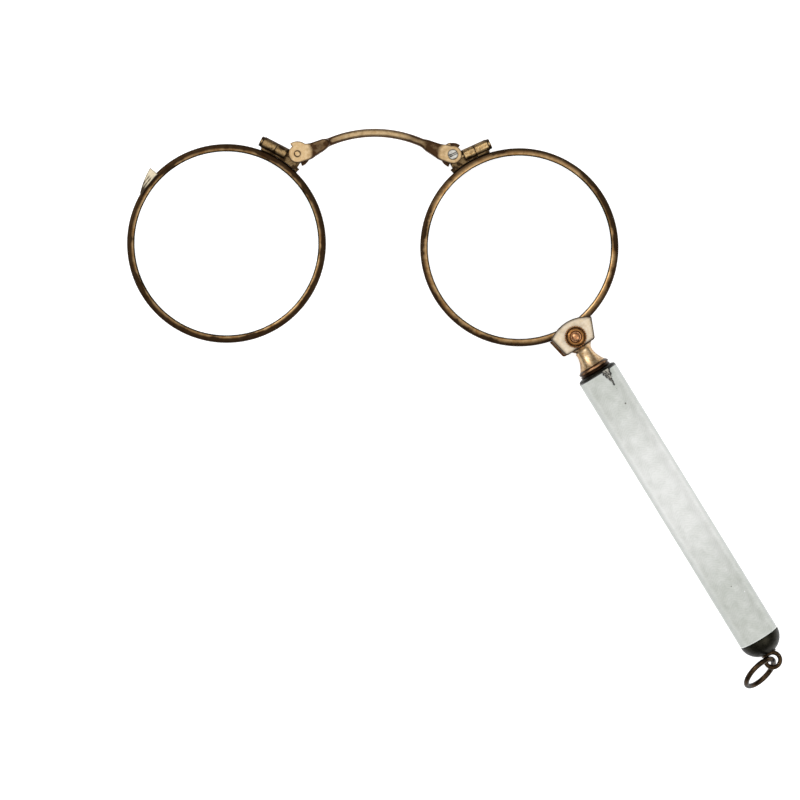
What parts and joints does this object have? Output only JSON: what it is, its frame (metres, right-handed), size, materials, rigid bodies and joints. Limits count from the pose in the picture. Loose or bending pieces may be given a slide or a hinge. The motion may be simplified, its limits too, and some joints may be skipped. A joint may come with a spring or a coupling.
{
  "type": "lorgnette",
  "caption": "Folding lorgnette with round lenses on a sprung bridge, a push-button catch, a straight enamelled handle and a loose end ring.",
  "frame": {"origin": "bottom centre of the bounding box of the open lorgnette, lying with its button up", "axes": "+X to the right and +Y up as the front is seen, +Z from the back to the front, along the pivots"},
  "size_m": [0.143, 0.1224, 0.0092],
  "materials": {
    "rim_gold": "worn rolled gold with brown patina",
    "lens_glass": "clear polished glass",
    "block_gold": "worn rolled gold",
    "screw_metal": "turned",
    "spring_steel": "blued steel",
    "neck_gold": "polished, worn",
    "plate_gold": "satin pale gold",
    "bezel_gilt": "gilt, milled edge",
    "button_gilt": "polished copper gilt",
    "dark_bronze": "dark patina",
    "oxidised_silver": "blackened, polished",
    "handle_metal": "engine-turned under the enamel",
    "enamel": "glossy translucent white over engine turning",
    "plain_steel": "turned",
    "bridge_gold": "satin pale gold, brown in the hollows",
    "tab_metal": "satin pale gold"
  },
  "bodies": {
    "right_rim_and_handle": {"right_eye_wire": "rim_gold", "right_lens": "lens_glass", "right_closing_block_outer": "block_gold", "right_closing_block_inner": "block_gold", "right_closing_screw": "screw_metal", "release_housing": "neck_gold", "front_plate": "plate_gold", "button_bezel": "bezel_gilt", "catch_spring": "spring_steel", "button_spring": "spring_steel", "collar": "dark_bronze", "handle_ferrule": "oxidised_silver", "handle_tube": "handle_metal", "enamel_sleeve": "enamel", "tie_rod": "plain_steel", "end_cap": "oxidised_silver", "eyelet": "dark_bronze"},
    "button": {"release_button": "button_gilt"},
    "bridge": {"bridge": "bridge_gold", "left_pivot_rivet": "screw_metal", "right_pivot_screw": "plain_steel", "left_hinge_spring": "spring_steel", "right_hinge_spring": "spring_steel"},
    "left_rim": {"left_eye_wire": "rim_gold", "left_lens": "lens_glass", "left_closing_block_outer": "block_gold", "left_closing_block_inner": "block_gold", "left_closing_screw": "screw_metal", "catch_tab": "tab_metal"},
    "ring": {"chain_ring": "dark_bronze"}
  },
  "joints": [
    {"name": "right_hinge", "type": "hinge", "parent": "right_rim_and_handle", "child": "bridge", "pos_m": [-0.00037, 0.0555, 0.00255], "axis": [0, 0, 1], "range_deg": [0, 78.6], "stiffness_Nm_per_rad": 0.004, "springref_deg": -28.65},
    {"name": "left_hinge", "type": "hinge", "parent": "bridge", "child": "left_rim", "pos_m": [-0.03427, 0.0555, 0.00485], "axis": [0, 0, 1], "range_deg": [0, 81.42], "stiffness_Nm_per_rad": 0.004, "springref_deg": -28.65},
    {"name": "button_press", "type": "slide", "parent": "right_rim_and_handle", "child": "button", "axis": [0, 0, -1], "range_m": [0, 0.0007], "stiffness_N_per_m": 800, "springref_m": -0.0005, "deforming": ["button_spring", "catch_spring"]},
    {"name": "ring_swing", "type": "hinge", "parent": "right_rim_and_handle", "child": "ring", "pos_m": [0.06938, -0.05483, 0.0046], "axis": [0, 0, 1], "range_deg": [0, 148]}
  ],
  "couplings": [
    {"joint": "left_hinge", "follows": "right_hinge", "ratio": 1.0356}
  ]
}
